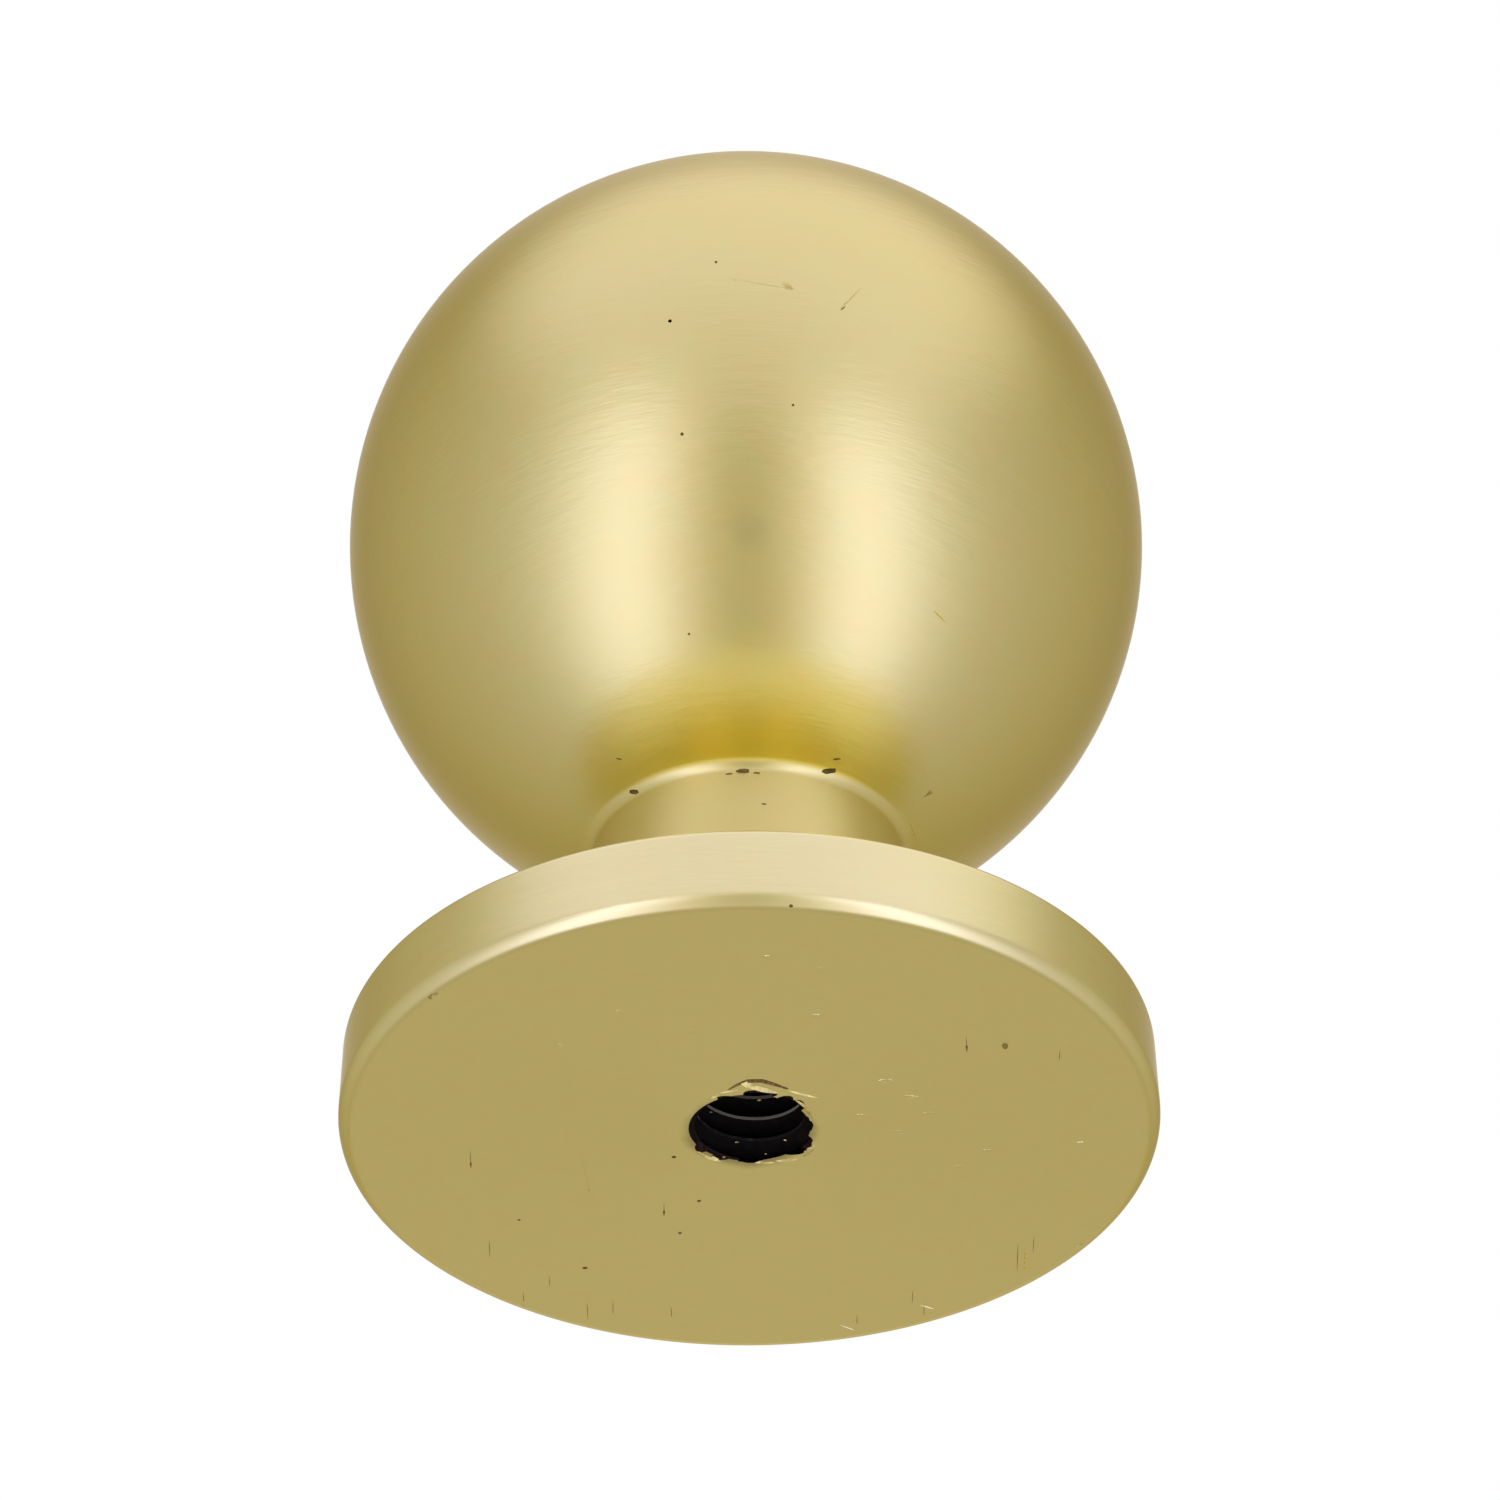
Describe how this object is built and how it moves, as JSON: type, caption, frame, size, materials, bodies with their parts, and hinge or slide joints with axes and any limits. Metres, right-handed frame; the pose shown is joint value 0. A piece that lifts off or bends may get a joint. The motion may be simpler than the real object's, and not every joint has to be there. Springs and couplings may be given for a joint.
{
  "type": "cabinet knob",
  "caption": "Ball knob with a short neck and a round flat base, fixed to a drawer or cabinet door by a screw from behind in its blind tapped hole.",
  "frame": {"origin": "centre of the flat mounting face, on the axis of the screw hole", "axes": "+Z along the knob's axis, from the mounting face towards the ball"},
  "size_m": [0.0258, 0.0258, 0.035],
  "materials": {
    "satin_brass": "satin: brushed round the knob's axis, plated and lacquered over a cast core"
  },
  "bodies": {
    "root": {"knob": "satin_brass"}
  },
  "joints": []
}
